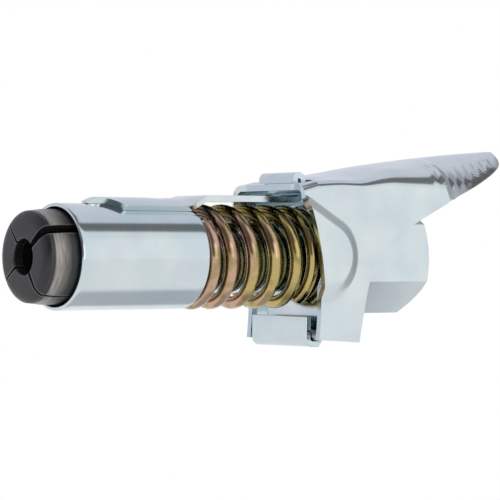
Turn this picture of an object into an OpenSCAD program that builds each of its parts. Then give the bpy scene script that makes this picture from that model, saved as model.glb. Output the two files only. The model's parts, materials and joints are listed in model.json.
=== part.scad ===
// Locking grease coupler: four jaws in a sliding sleeve, drawn back by a thumb lever.
// The origin is the centre of the threaded inlet's mouth. +X points out of the inlet,
// the jaws point along -X, and the lever's thumb pad is on top, along +Z.

/* [Hexagon and stem] */
// Width of the hexagon across its flats
hex_af = 18; // [17:0.5:19]
// Length of the hexagon
hex_len = 23.6; // [18:0.2:28]
// Turn of the hexagon about the axis, in degrees
hex_turn = 4.2; // [0:0.1:6]
// Chamfer on the hexagon's corners
hex_chamfer = 1.3; // [0.6:0.1:2]
// Radius of the inlet thread's wall
inlet_r = 4.3; // [4:0.05:4.8]
// Depth of the inlet thread
inlet_depth = 10; // [8:0.5:12]
// Radius of the grease passage
passage_r = 1.6; // [1.2:0.1:2]

/* [Sleeve] */
// How far the sleeve's wall stands out past the hexagon's flats
sleeve_proud = 0.1; // [0:0.05:0.4]
// Length of the sleeve
sleeve_len = 26.1; // [25.5:0.1:30]
// Wall of the sleeve round the stem, with the running clearance
guide_wall = 2.7; // [2.5:0.05:2.9]
// Wall of the sleeve at its mouth
mouth_wall = 0.7; // [0.5:0.05:0.8]
// Running clearance between the sleeve and the stem
sleeve_clear = 0.06; // [0.04:0.01:0.12]
// How far the lever draws the sleeve back
sleeve_travel = 4.7; // [4:0.1:5]
// Rounding of the sleeve's outer edges
sleeve_edge = 0.4; // [0.2:0.05:0.6]

/* [Jaws] */
// How far the jaws stand out of the sleeve
jaw_out = 6.1; // [5:0.1:7]
// Radius of the hole between the jaws that grips the nipple
grip_r = 3.05; // [2.9:0.05:3.2]
// Length of the gripping wall
grip_len = 1.5; // [1:0.1:1.8]
// Radius of the flat front face
jaw_face_r = 6.2; // [5.8:0.1:7]
// Radial gap between the closed jaws and the sleeve
jaw_gap = 0.32; // [0.25:0.01:0.4]
// Width of the slots between the jaws
jaw_slot = 0.6; // [0.5:0.1:1.2]
// Slack that turns each jaw from its even place, in degrees: bottom, far, top, near
jaw_slack = [1, -1, -3.5, 4]; // [-4:0.5:4]
// Turn of the jaws about the axis, in degrees
jaw_turn = 9; // [0:1:20]
// Wall of the jaws over the carrier's flange
jaw_wall = 1.15; // [1:0.05:1.4]
// Length of the heel that hooks behind the flange
heel_len = 2.2; // [1.8:0.1:2.6]
// Depth of the hook behind the flange
heel_hook = 0.95; // [0.85:0.05:1]
// Clearance round the heel
heel_clear = 0.15; // [0.1:0.01:0.2]

/* [Front end] */
// Radius of the flange that holds the jaws
flange_r = 5.55; // [5.4:0.05:5.7]
// Thickness of that flange
flange_t = 1.8; // [1.4:0.1:2.2]
// Radius of the carrier's shank in the stem
shank_r = 4.1; // [4:0.05:4.4]
// Length of that shank
shank_len = 10.5; // [9:0.5:12]
// Radius of the carrier's bore
piston_bore_r = 3; // [2.9:0.05:3.1]
// Section of the ring that spreads the jaws
ring_d = 1.16; // [1:0.02:1.2]
// Radius of the rubber seal
seal_r = 3.55; // [3.4:0.05:3.6]
// Travel of the seal
seal_travel = 1.2; // [0.8:0.1:1.4]
// Running clearance of the seal's piston
piston_clear = 0.06; // [0.04:0.01:0.1]
// Radius of the check ball
ball_r = 2.4; // [2.2:0.05:2.6]
// Thickness of the copper washer behind the carrier
washer_t = 0.5; // [0.4:0.1:0.8]

/* [Springs] */
// Installed length of the main spring
spring_len = 24.5; // [23:0.1:27]
// Wire of the main spring
spring_wire = 2.3; // [2:0.05:2.4]
// Turns of the main spring
spring_turns = 5.3; // [4.8:0.1:5.8]
// Gap between the stem and the main spring
spring_stem_gap = 0.55; // [0.4:0.05:0.7]
// Wire of the small springs
small_wire = 0.55; // [0.4:0.05:0.6]
// Turns of the small springs
small_turns = 7; // [5:0.5:8]

/* [Pull strap] */
// Thickness of the strap
strap_t = 1.1; // [1:0.05:1.3]
// Half the width of the strap, measured along its surface
strap_half = 4.9; // [4:0.1:5.2]
// Half the width of the strap's front tip
strap_tip_half = 1.3; // [1:0.1:1.8]
// Distance of the strap's tip behind the sleeve's mouth
strap_tip = 5.9; // [4:0.1:8]
// Gap between the main spring and the strap
strap_clear = 0.35; // [0.3:0.05:0.6]
// Half the width of the hook at the strap's end
hook_half = 5.4; // [5:0.05:6.5]
// Height of the hook's inside over the lever's strip
hook_gap = 1.1; // [1:0.05:1.4]
// Gap between the hook and the hexagon's round front
hook_clear = 0.25; // [0.2:0.05:0.3]
// Gap between the hook's turned-down lip and the lever's strip
lip_gap = 0.25; // [0.2:0.05:0.4]

/* [Lever] */
// Thickness of the lever's sheet
lever_t = 1.1; // [1:0.05:1.2]
// Gap between the lever's sides and the hexagon
lever_side_gap = 0.25; // [0.2:0.05:0.5]
// Gap between the strap and the lever's strip
strip_gap = 1.05; // [0.9:0.05:1.3]
// Width of the strip that the hook pulls on
strip_w = 3.2; // [2.8:0.1:3.4]
// Distance of the lever's front edge before the pivot
lever_front = 4.4; // [4.2:0.1:5]
// Length of the lever's sides behind the pivot
lever_side = 29.3; // [27:0.1:32]
// Distance of the legs' front corner before the pivot
leg_toe = 1.2; // [1.1:0.1:2]
// Distance of the legs' back corner behind the pivot
leg_heel = 7.9; // [7:0.1:9]
// How far the legs reach below the pivot
leg_drop = 1.35; // [1.2:0.05:1.4]
// Distance of the legs' narrow waist behind the pivot
leg_waist = 11.2; // [10:0.1:13]
// Length of the tail behind the sides
lever_tail = 19.3; // [15:0.1:24]
// Rise of the crown from the strip to the tail's tip
crown_rise = 7.15; // [6.5:0.05:9]
// Radius of the bend between the roof and the sides
lever_bend = 1.4; // [1.2:0.1:2]
// How far the sides bulge out round the spring's seat
bulge = 1.2; // [0.8:0.1:1.4]
// Radius of that bulge
bulge_r = 6.5; // [6:0.1:7.4]
// Radius of the pivot rod
rod_r = 0.9; // [0.8:0.05:1]
// Clearance of the pivot rod in its trough
rod_clear = 0.05; // [0.03:0.01:0.1]

/* [Bracket] */
// Thickness of the bracket's sheet
bracket_t = 1.1; // [1:0.05:1.3]
// Half the width of the trough
trough_half = 8; // [7:0.1:8.6]
// Half the width of the bracket's neck
neck_half = 7.5; // [4:0.1:8]
// Height of the trough's front wall
trough_wall = 5.5; // [4.5:0.1:6]
// Gap between the main spring and the trough's front wall
trough_gap = 1.25; // [0.8:0.05:2]
// Inner radius of the bracket's bends
bracket_bend = 0.4; // [0.3:0.05:0.9]

/* [Hidden] */
$fn = 96;
tiny = 0.01;
fit = 0.02;
far = 60;

// Stations along the axis
hex_front = -hex_len;
seat_x = hex_front - bracket_t;
sleeve_back = seat_x - spring_len;
mouth_x = sleeve_back - sleeve_len;
jaw_front = mouth_x - jaw_out;

// Radii that nest inside each other
sleeve_r = hex_af / 2 + sleeve_proud;
stem_r = sleeve_r - guide_wall;
mouth_r = sleeve_r - mouth_wall;
jaw_r = mouth_r - jaw_gap;
neck_r = flange_r - heel_hook;
jaw_inner_r = flange_r + 2 * heel_clear;
jaw_tail_r = jaw_inner_r + jaw_wall;
sleeve_tail_r = jaw_tail_r + jaw_gap;
guide_r = stem_r + sleeve_clear;
spring_r = stem_r + spring_stem_gap + spring_wire;
hex_r = hex_af / 2 / cos(30);

// Front end, from the sleeve's mouth backwards
jaw_cone = 5.2;
jaw_lead = 0.4;
jaw_land = 2.6;
jaw_taper = 0.06;
jaw_shoulder = 0.35;
shoulder_drop = 0.3;
seal_room = 0.35;
seal_lip = 2;
seal_wall = 0.9;
seal_cone = 1.8;
seal_seat = 1.7;
head_rim = 0.55;
head_room = 0.45;
head_set = 2.85;
head_len = 2.95;
ring_room = 0.74;
groove_set = 3.2;
groove_w = 1.4;
groove_depth = 0.85;
piston_hole_r = 1;
pocket_r = seal_r + seal_room;
head_r = pocket_r + head_rim;
cavity_r = head_r + head_room;
head_x = mouth_x + head_set;
cavity_x = head_x + heel_clear;
nose_x = head_x + head_len + seal_travel + 2 * heel_clear;
flange_x = nose_x + ring_d + ring_room;
neck_x = flange_x + flange_t;
stem_x = neck_x + heel_len + 2 * heel_clear;
shank_x = stem_x + shank_len;
chamber_x = shank_x + washer_t;
piston_len = 11.2;
piston_end = head_x + piston_len;
shelf_t = 1.5;
spring_shelf = shank_x - shelf_t;
chamber_r = piston_bore_r;
chamber_len = 11.5;
cone_x = chamber_x + chamber_len;
ball_gap = 0.05;
ball_x = cone_x + chamber_r - sqrt(2) * (ball_r + ball_gap);

// Strap and lever
flat_z = spring_r + strap_clear;
roof_z = flat_z + strap_t + strip_gap + lever_t;
hook_z = roof_z + hook_gap;
pivot_x = seat_x - rod_r - rod_clear;
trough_z = -spring_r - trough_gap - trough_wall;
pivot_z = trough_z + bracket_t + rod_clear + rod_r;
hex_span = hex_r * cos(30 - hex_turn);
lever_half = max(hex_span, spring_r) + lever_side_gap + lever_t;
strip_back = pivot_x - lever_front + strip_w;
strip_play = 0.35;
window_play = 0.35;
window_len = 2.6;
hook_x = strip_back + strip_play;
hook_bend = 0.5;
lip_bend = 0.2;

// Curves of the lever: its crown, its arch across, its legs' edges, the rim of the bulge and the tail
crown_early = 0.54;
crown_late = 0.83;
climb_len = 6;
arch_rate = 0.0018;
arch_lead = 4;
arch_power = 1.4;
front_waist = 0.5;
front_waist_z = -1.5;
back_waist_z = 1.5;
back_pull = 4;
toe_rise = 0.6;
bulge_soft = 2.4;
tail_nose = 0.4;
tail_pull = 4;
bulge_lean = 150;

// Shapes that several pieces use
function step(t) = let (c = min(1, max(0, t))) c * c * (3 - 2 * c);
function mix(a, b, t) = a + (b - a) * t;
function cubic(a, b, c, d, t) =
    a * pow(1 - t, 3) + 3 * b * t * pow(1 - t, 2) + 3 * c * t * t * (1 - t) + d * pow(t, 3);
function conic(a, b, c, w, t) =
    (a * pow(1 - t, 2) + 2 * w * b * t * (1 - t) + c * t * t)
    / (pow(1 - t, 2) + 2 * w * t * (1 - t) + t * t);

module along_x(x) {
    translate([x, 0, 0]) rotate([0, 90, 0]) children();
}

// A solid turned about the axis, from points given as [station, radius]
module turned(points) {
    along_x(0) rotate_extrude() polygon([for (p = points) [p[1], p[0]]]);
}

module tube(x, len, outer, inner) {
    turned([[x, inner], [x, outer], [x + len, outer], [x + len, inner]]);
}

// A closed solid between two grids of points that have the same rows and columns
module sheet(outer, inner) {
    rows = len(outer);
    cols = len(outer[0]);
    count = rows * cols;
    points = concat([for (r = outer) for (p = r) p], [for (r = inner) for (p = r) p]);
    skin = [
        for (i = [0 : rows - 2]) for (j = [0 : cols - 2]) let (a = i * cols + j)
        each [[a, a + 1, a + cols], [a + 1, a + cols + 1, a + cols]]
    ];
    lining = [for (f = skin) [f[2] + count, f[1] + count, f[0] + count]];
    rim = concat(
        [for (j = [0 : cols - 2]) j + 1],
        [for (i = [0 : rows - 2]) (i + 2) * cols - 1],
        [for (j = [cols - 1 : -1 : 1]) (rows - 1) * cols + j - 1],
        [for (i = [rows - 1 : -1 : 1]) (i - 1) * cols]
    );
    edge = [
        for (k = [0 : len(rim) - 1]) let (a = rim[k], b = rim[(k + 1) % len(rim)])
        each [[b, a, a + count], [b, a + count, b + count]]
    ];
    polyhedron(points = points, faces = concat(skin, lining, edge));
}

// A right-hand coil of wire with its end turns drawn together
module coil(x, len, mean_r, wire, turns, start, sides, steps) {
    end_pitch = 0.7 * wire;
    mid_pitch = (len - wire - end_pitch) / (turns - 1);
    half_ramp = (end_pitch + mid_pitch) / 2;
    rings = ceil(turns * steps);
    function climb(t) =
        t < 1 ? end_pitch * t + (mid_pitch - end_pitch) * t * t / 2 : half_ramp + mid_pitch * (t - 1);
    function rise(t) =
        t > turns - 1 ? len - wire - climb(turns - t) : climb(t);
    points = [
        for (i = [0 : rings]) let (t = turns * i / rings, a = start + 360 * t)
        for (k = [0 : sides - 1]) let (b = 360 * k / sides, r = mean_r + wire / 2 * cos(b))
        [x + wire / 2 + rise(t) + wire / 2 * sin(b), r * cos(a), r * sin(a)]
    ];
    walls = [
        for (i = [0 : rings - 1]) for (k = [0 : sides - 1])
        let (a = i * sides + k, b = i * sides + (k + 1) % sides)
        each [[a, b, a + sides], [b, b + sides, a + sides]]
    ];
    caps = [
        [for (k = [sides - 1 : -1 : 0]) k],
        [for (k = [0 : sides - 1]) rings * sides + k]
    ];
    polyhedron(points = points, faces = concat(walls, caps));
}

// Hexagon, stem and grease passage in one turned bar.
// The hexagon's front is turned round, so that the strap's hook clears its corners.
module hex_body() {
    collar_r = flat_z - hook_clear;
    collar_back = hook_x + strap_t + sleeve_travel + hook_clear;
    color("silver")
    difference() {
        union() {
            tube(stem_x, hex_front - stem_x + tiny, stem_r, 0);
            intersection() {
                along_x(hex_front) rotate([0, 0, -hex_turn]) cylinder(r = hex_r, h = hex_len, $fn = 6);
                turned([
                    [hex_front, 0], [hex_front, collar_r], [collar_back, collar_r],
                    [collar_back + (hex_r - collar_r) * tan(30), hex_r],
                    [-hex_chamfer * tan(30), hex_r], [0, hex_r - hex_chamfer], [0, 0]
                ]);
            }
        }
        tube(-inlet_depth, inlet_depth + tiny, inlet_r, 0);
        turned([
            [stem_x - tiny, 0], [stem_x - tiny, shank_r + fit], [chamber_x, shank_r + fit],
            [chamber_x, chamber_r], [cone_x, chamber_r], [cone_x + chamber_r - passage_r, passage_r],
            [-inlet_depth - inlet_r + passage_r, passage_r], [-inlet_depth, inlet_r], [-inlet_depth, 0]
        ]);
    }
}

// Turned nose with the flange that the jaws hook behind
module jaw_carrier() {
    color("dimgray")
    turned([
        [nose_x, piston_bore_r], [nose_x, neck_r - jaw_lead], [nose_x + jaw_lead, neck_r],
        [flange_x, neck_r], [flange_x, flange_r], [neck_x, flange_r], [neck_x, neck_r],
        [stem_x, neck_r], [stem_x, shank_r], [shank_x, shank_r], [shank_x, passage_r],
        [spring_shelf, passage_r], [spring_shelf, piston_bore_r]
    ]);
}

// Copper ring that seals the carrier's thread
module sealing_washer() {
    color("peru") tube(shank_x, washer_t, shank_r - fit, chamber_r);
}

module check_ball() {
    color("lightgray") translate([ball_x, 0, 0]) sphere(r = ball_r);
}

// Small coil that holds the ball on its seat
module check_spring() {
    mean = ball_r * 0.68;
    rest_x = ball_x - sqrt(pow(ball_r, 2) - pow(mean, 2)) - small_wire / 2;
    color("gainsboro")
    coil(shank_x + fit, rest_x - shank_x, mean, small_wire, small_turns, 0, 6, 14);
}

// One of four jaws: a turned section between two sawn slots
module jaw(index) {
    turn = 90 * index + jaw_turn + jaw_slack[index];
    cavity_back = nose_x - seal_travel + heel_clear;
    face = [jaw_front, jaw_face_r];
    shoulder = [jaw_front + jaw_shoulder, jaw_r - shoulder_drop];
    land = [mouth_x - jaw_land, jaw_r - jaw_taper];
    color("#3a3b3d")
    intersection() {
        turned([
            [jaw_front, grip_r + jaw_lead], for (t = [0 : 0.2 : 1]) conic(face, shoulder, land, 1, t),
            [mouth_x + jaw_lead, jaw_r],
            [mouth_x + jaw_lead + jaw_cone, jaw_tail_r], [stem_x - heel_clear, jaw_tail_r],
            [stem_x - heel_clear, neck_r + heel_clear], [neck_x + heel_clear, neck_r + heel_clear],
            [neck_x + heel_clear, jaw_inner_r], [cavity_back, jaw_inner_r],
            [cavity_back, cavity_r], [cavity_x, cavity_r],
            [cavity_x - cavity_r + pocket_r, pocket_r],
            [jaw_front + jaw_lead + grip_len + pocket_r - grip_r, pocket_r],
            [jaw_front + jaw_lead + grip_len, grip_r], [jaw_front + jaw_lead, grip_r]
        ]);
        along_x(jaw_front - tiny)
        rotate([0, 0, turn - 45])
        translate([jaw_slot / 2, jaw_slot / 2, 0])
        cube([far, far, stem_x - jaw_front]);
    }
}

module jaw_bottom() { jaw(0); }

module jaw_far() { jaw(1); }

module jaw_top() { jaw(2); }

module jaw_near() { jaw(3); }

// Elastic ring on the carrier's nose that presses the jaws apart
module jaw_spreader_ring() {
    color("#1c1c1c")
    along_x(flange_x - ring_d / 2 - fit)
    rotate_extrude() translate([neck_r + fit + ring_d / 2, 0]) circle(d = ring_d);
}

// Rubber seal that meets the nipple's head
module nipple_seal() {
    lip_x = mouth_x - seal_lip;
    base_x = head_x + seal_seat;
    color("#26211f")
    turned([
        [lip_x, seal_r - seal_wall], [lip_x, seal_r - jaw_lead], [lip_x + jaw_lead, seal_r],
        [base_x, seal_r], [base_x, piston_hole_r], [lip_x + seal_cone, piston_hole_r]
    ]);
}

// Piston that carries the seal and slides in the carrier
module seal_piston() {
    groove_x = nose_x + groove_set;
    seat_depth_x = head_x + seal_seat;
    tail_r = piston_bore_r - piston_clear;
    groove_r = tail_r - groove_depth;
    color("darkkhaki")
    turned([
        [head_x, seal_r + fit], [head_x, head_r - jaw_lead], [head_x + jaw_lead, head_r],
        [head_x + head_len, head_r], [head_x + head_len, tail_r], [groove_x, tail_r],
        [groove_x, groove_r], [groove_x + groove_w, groove_r], [groove_x + groove_w, tail_r],
        [piston_end, tail_r], [piston_end, piston_hole_r], [seat_depth_x, piston_hole_r],
        [seat_depth_x, seal_r + fit]
    ]);
}

// Rubber ring in the piston's groove
module piston_o_ring() {
    section = groove_depth - fit;
    color("#1c1c1c")
    along_x(nose_x + groove_set + groove_w / 2)
    rotate_extrude() translate([piston_bore_r - piston_clear - section / 2, 0]) circle(d = section);
}

// Small coil that pushes the seal forward
module seal_spring() {
    side_gap = 0.25;
    color("gainsboro")
    coil(piston_end + fit, spring_shelf - piston_end - 2 * fit,
        piston_bore_r - side_gap - small_wire / 2, small_wire, small_turns, 0, 6, 14);
}

// Tube that closes the jaws, with a guide at its back that runs on the stem
module sleeve() {
    cone = jaw_cone * (mouth_r - sleeve_tail_r) / (jaw_r - jaw_tail_r);
    guide_gap = 0.7;
    mouth_edge = 0.15;
    guide_x = stem_x + guide_gap;
    color("lightsteelblue")
    turned([
        [mouth_x, mouth_r + mouth_edge], [mouth_x, sleeve_r - sleeve_edge], [mouth_x + sleeve_edge, sleeve_r],
        [sleeve_back - sleeve_edge, sleeve_r], [sleeve_back, sleeve_r - sleeve_edge], [sleeve_back, guide_r],
        [guide_x, guide_r], [guide_x, sleeve_tail_r], [mouth_x + jaw_lead + cone, sleeve_tail_r],
        [mouth_x + jaw_lead, mouth_r], [mouth_x + mouth_edge, mouth_r]
    ]);
}

// Strap: a spade-shaped saddle on the sleeve that flattens out over the spring and ends in a hook
module pull_strap() {
    weld = 0.03;
    tip_len = 2.1;
    tip_thin = 0.3;
    tip_blunt = 0.06;
    spade_len = 3.6;
    lift_before = 1.6;
    lift_after = 2.9;
    spread_len = 3;
    tip_x = mouth_x + strap_tip;
    shoulder_x = tip_x + tip_len;
    wide_x = shoulder_x + spade_len;
    lift_x = sleeve_back - lift_before;
    level_x = sleeve_back + lift_after;
    bend_x = hook_x - hook_bend;
    spread_x = bend_x - spread_len;
    outer = hook_bend + strap_t;
    lip = lip_bend + strap_t;
    hook_top = hook_z + strap_t;
    lip_z = roof_z + lip_gap;
    columns = 5;
    stations = concat(
        [for (i = [0 : 6]) mix(tip_x, shoulder_x, 1 - cos(15 * i))],
        [for (i = [1 : 6]) mix(shoulder_x, wide_x, i / 6)],
        [for (i = [0 : 8]) mix(lift_x, level_x, i / 8)],
        [for (i = [0 : 3]) mix(spread_x, bend_x - tiny, i / 3)]
    );
    function half(x) =
        strap_tip_half * sin(acos(max(0, 1 - tip_blunt - (x - tip_x) / tip_len)))
        + (strap_half - strap_tip_half) * step((x - shoulder_x) / spade_len)
        + (hook_half - strap_half) * step((x - spread_x) / spread_len);
    function lift(x) = step((x - lift_x) / (level_x - lift_x));
    function thick(x) = strap_t * min(1, mix(tip_thin, 1, (x - tip_x) / tip_len));
    function saddle(x, s, raise) =
        let (flat = lift(x), r = (sleeve_r + weld) / max(1 - flat, tiny / 4), a = s * half(x) / r * 180 / PI)
        [x, (r + raise) * sin(a), mix(sleeve_r + weld, flat_z, flat) + (r + raise) * cos(a) - r];
    function bend(x, z, r, a, s) = [x + r * cos(a), s * hook_half, z + r * sin(a)];
    grid = [for (i = [-columns : columns]) i / columns];
    function strap_grid(raise) = concat(
        [for (x = stations) [for (s = grid) saddle(x, s, min(raise, thick(x)))]],
        [for (a = [-90 : 22.5 : 0]) [for (s = grid) bend(bend_x, flat_z + outer, outer - raise, a, s)]],
        [for (a = [0 : 22.5 : 90]) [for (s = grid) bend(bend_x, hook_top - outer, outer - raise, a, s)]],
        [for (a = [112.5 : 22.5 : 180]) [for (s = grid) bend(bend_x, hook_top - lip, lip - raise, a, s)]],
        [[for (s = grid) bend(bend_x, lip_z, lip - raise, 180, s)]]
    );
    color("gainsboro") sheet(strap_grid(strap_t), strap_grid(0));
}

// Main spring between the sleeve and the bracket
module main_spring() {
    seat_gap = 0.05;
    first_end = 137;
    color("darkkhaki")
    coil(sleeve_back + seat_gap, spring_len - 2 * seat_gap, spring_r - spring_wire / 2,
        spring_wire, spring_turns, first_end, 10, 28);
}

// Height of the lever's crown at a distance behind the pivot, and the roof's fall from it across.
// The strip lies level, and the crown climbs from it past the window.
function crown(x) =
    let (
        t = (x + lever_front) / (lever_front + lever_side + lever_tail),
        climb = step((x + lever_front - strip_w / 2) / climb_len)
    )
    roof_z + crown_rise * climb * cubic(0, crown_early, crown_late, 1, t);
function fall(x, y) =
    arch_rate * max(0, x + arch_lead) * pow(lever_half, 2 - arch_power) * pow(y, arch_power);

// Share of the tail's length at a share of its half width: a blunt nose and nearly straight sides
function tail_share(s) =
    let (
        turn = tail_pull * (s - tail_nose),
        q = (turn + sqrt(turn * turn + s * (1 - s))) / max(1 - s, tiny / 10),
        bow = 1 + 2 * tail_pull * q
    )
    bow / (bow + q * q);

// A point on the lever's outside. u runs from the front edge to the back edge.
// v runs from 0 on the crown to 1 at the bend, 2 below the bend and 3 at the leg's end.
function lever_point(u, v) =
    let (side = v < 0 ? -1 : 1, w = abs(v))
    w <= 2 ? roof_point(u, w, side) : leg_point(u, w - 2, side);

function roof_point(u, w, side) =
    let (
        flat = lever_half - lever_bend,
        a = 90 * max(0, w - 1),
        y = w < 1 ? flat * sin(90 * w) : flat + lever_bend * sin(a),
        x = mix(-lever_front, lever_side + lever_tail * tail_share(min(1, y / lever_half)), u),
        z = crown(x) - fall(x, y) - lever_bend * (1 - cos(a))
    )
    [pivot_x + x, side * y, z];

function leg_point(u, w, side) =
    let (
        crease = function (x) crown(x) - fall(x, lever_half) - lever_bend,
        low_z = pivot_z - leg_drop,
        front_pull = [front_waist, front_waist_z],
        back_bend = [leg_waist, back_waist_z],
        front = conic([-lever_front, crease(-lever_front)], front_pull, [-leg_toe, low_z + toe_rise], 1, w),
        back = conic([lever_side, crease(lever_side)], back_bend, [leg_heel, low_z], back_pull, w),
        top_x = mix(-lever_front, lever_side, u),
        sag = crease(top_x) - mix(crease(-lever_front), crease(lever_side), u),
        p = mix(front, back, u) + [0, sag * pow(1 - w, 2)],
        lean = [cos(bulge_lean), sin(bulge_lean)],
        run = max(0, p * lean),
        d = norm(p - run * lean),
        out = bulge * (1 - step((d - bulge_r) / bulge_soft + 0.5))
    )
    [pivot_x + p[0], side * (lever_half + out), p[1]];

// The same point moved inwards by the sheet's thickness
function lever_inside(u, v) =
    let (
        h = 0.004,
        along = lever_point(min(1, u + h), v) - lever_point(max(0, u - h), v),
        across = lever_point(u, min(3, v + h)) - lever_point(u, max(-3, v - h)),
        n = cross(along, across)
    )
    lever_point(u, v) - lever_t * n / norm(n);

// Lever: one pressed sheet, a channel at the front that spreads into an arched thumb pad
module lever() {
    columns = 32;
    half_rows = concat(
        [for (i = [0 : 7]) i / 8],
        [for (i = [0 : 2]) 1 + i / 3],
        [for (i = [0 : 14]) 2 + i / 14]
    );
    rows = concat([for (i = [len(half_rows) - 1 : -1 : 1]) -half_rows[i]], half_rows);
    window = hook_half + window_play;
    color("gainsboro")
    difference() {
        sheet(
            [for (i = [0 : columns]) [for (v = rows) lever_point(i / columns, v)]],
            [for (i = [0 : columns]) [for (v = rows) lever_inside(i / columns, v)]]
        );
        translate([strip_back, -window, flat_z]) cube([window_len, 2 * window, hook_z - flat_z + strap_t]);
    }
}

// Rod between the lever's legs that turns in the bracket's trough
module lever_pivot_rod() {
    length = 2 * (lever_half - lever_t - tiny);
    color("slategray")
    translate([pivot_x, length / 2, pivot_z]) rotate([90, 0, 0]) cylinder(r = rod_r, h = length);
}

// Bracket: a ring on the stem whose lower end is bent into a trough for the rod
module lever_bracket() {
    outer = bracket_bend + bracket_t;
    bottom = trough_z + outer;
    wall_x = pivot_x - rod_r - rod_clear - bracket_t;
    color("lightsteelblue")
    union() {
        difference() {
            union() {
                tube(seat_x, bracket_t, spring_r, 0);
                translate([seat_x, -neck_half, bottom]) cube([bracket_t, 2 * neck_half, -bottom]);
            }
            tube(seat_x - tiny, bracket_t + 2 * tiny, guide_r, 0);
        }
        trough_sheet(trough_half) trough_outline(wall_x, bottom, outer);
        trough_sheet(neck_half) {
            translate([hex_front - outer, bottom]) lower_bend(outer);
            translate([wall_x + outer, trough_z]) square([hex_front - wall_x - 2 * outer, bracket_t]);
        }
    }
}

module trough_sheet(half) {
    translate([0, half, 0]) rotate([90, 0, 0]) linear_extrude(2 * half) children();
}

module lower_bend(outer) {
    intersection() {
        difference() {
            circle(r = outer);
            circle(r = outer - bracket_t);
        }
        translate([0, -outer]) square(outer);
    }
}

module trough_outline(wall_x, bottom, outer) {
    translate([wall_x, bottom]) square([bracket_t, trough_wall - outer]);
    translate([wall_x + outer, bottom]) mirror([1, 0]) lower_bend(outer);
    translate([wall_x + outer, trough_z]) square([seat_x - wall_x - outer, bracket_t]);
}

hex_body();
jaw_carrier();
sealing_washer();
check_ball();
check_spring();
jaw_bottom();
jaw_far();
jaw_top();
jaw_near();
jaw_spreader_ring();
nipple_seal();
seal_piston();
piston_o_ring();
seal_spring();
sleeve();
pull_strap();
main_spring();
lever();
lever_pivot_rod();
lever_bracket();
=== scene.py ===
import json
import math

import bmesh
import bpy
from mathutils import Matrix, Vector


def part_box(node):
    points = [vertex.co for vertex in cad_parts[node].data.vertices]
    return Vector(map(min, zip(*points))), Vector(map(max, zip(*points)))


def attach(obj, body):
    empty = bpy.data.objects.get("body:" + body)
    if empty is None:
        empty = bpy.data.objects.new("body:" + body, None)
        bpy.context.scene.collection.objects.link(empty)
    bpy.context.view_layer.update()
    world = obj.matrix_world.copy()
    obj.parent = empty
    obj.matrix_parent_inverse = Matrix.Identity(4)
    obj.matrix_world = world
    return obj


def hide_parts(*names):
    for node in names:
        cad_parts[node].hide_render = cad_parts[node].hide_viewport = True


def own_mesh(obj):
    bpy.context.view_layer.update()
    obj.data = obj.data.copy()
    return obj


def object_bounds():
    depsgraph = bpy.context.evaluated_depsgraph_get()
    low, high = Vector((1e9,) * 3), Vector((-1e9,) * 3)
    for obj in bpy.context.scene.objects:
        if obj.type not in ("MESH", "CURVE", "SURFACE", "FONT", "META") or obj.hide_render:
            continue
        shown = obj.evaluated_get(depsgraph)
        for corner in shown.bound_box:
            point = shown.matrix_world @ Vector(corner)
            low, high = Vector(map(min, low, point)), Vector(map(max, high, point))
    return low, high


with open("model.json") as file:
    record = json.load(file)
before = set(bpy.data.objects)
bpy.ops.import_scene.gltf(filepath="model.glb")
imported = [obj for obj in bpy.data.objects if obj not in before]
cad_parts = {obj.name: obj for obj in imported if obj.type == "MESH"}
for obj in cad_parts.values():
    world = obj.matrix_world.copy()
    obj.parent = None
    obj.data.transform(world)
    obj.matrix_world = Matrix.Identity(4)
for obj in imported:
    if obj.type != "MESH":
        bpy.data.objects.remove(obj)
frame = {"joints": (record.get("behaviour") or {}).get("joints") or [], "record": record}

mm = 0.001
cadLow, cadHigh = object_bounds()
jointList = {joint["name"]: joint for joint in frame["joints"]}
bodyOfNode = {node: body for body, nodes in frame["record"]["behaviour"]["bodies"].items() for node in nodes}


def easeStep(t):
    c = min(1.0, max(0.0, t))
    return c * c * (3 - 2 * c)


def between(a, b, t):
    return a + (b - a) * t


def conicPoint(a, b, c, pull, t):
    k = 1 - t
    weight = k * k + 2 * pull * t * k + t * t
    return (a * (k * k) + b * (2 * pull * t * k) + c * (t * t)) / weight


def boxMm(node):  # a node's lowest and highest corner, in mm
    low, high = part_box(node)
    return low / mm, high / mm


# Colours and nodes

def hexColour(text):
    parts = [int(text[i:i + 2], 16) / 255 for i in (1, 3, 5)]
    return [c / 12.92 if c <= 0.04045 else ((c + 0.055) / 1.055) ** 2.4 for c in parts] + [1.0]


def addNode(tree, kind, inputs=None, settings=None):  # a node given as an input stands for its first output
    node = tree.nodes.new(kind)
    for key, value in (settings or {}).items():
        setattr(node, key, value)
    for key, value in (inputs or {}).items():
        if isinstance(value, bpy.types.Node):
            value = value.outputs[0]
        if isinstance(value, bpy.types.NodeSocket):
            tree.links.new(value, node.inputs[key])
        else:
            node.inputs[key].default_value = value
    return node


times = {"operation": "MULTIPLY"}
larger = {"operation": "MAXIMUM"}
dot = {"operation": "DOT_PRODUCT"}
smooth = {"interpolation_type": "SMOOTHSTEP"}


def perMm(size):  # a pattern's scale, from its real size in mm
    return 1 / (size * mm)


def makeMaterial(name, recipe, sizes):  # the recipe adds the nodes and returns the shader
    material = bpy.data.materials.new(name)
    material.use_nodes = True
    tree = material.node_tree
    tree.nodes.clear()
    place = addNode(tree, "ShaderNodeTexCoord").outputs["Object"]
    addNode(tree, "ShaderNodeOutputMaterial", {"Surface": recipe(tree, place, sizes)})
    return material


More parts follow.
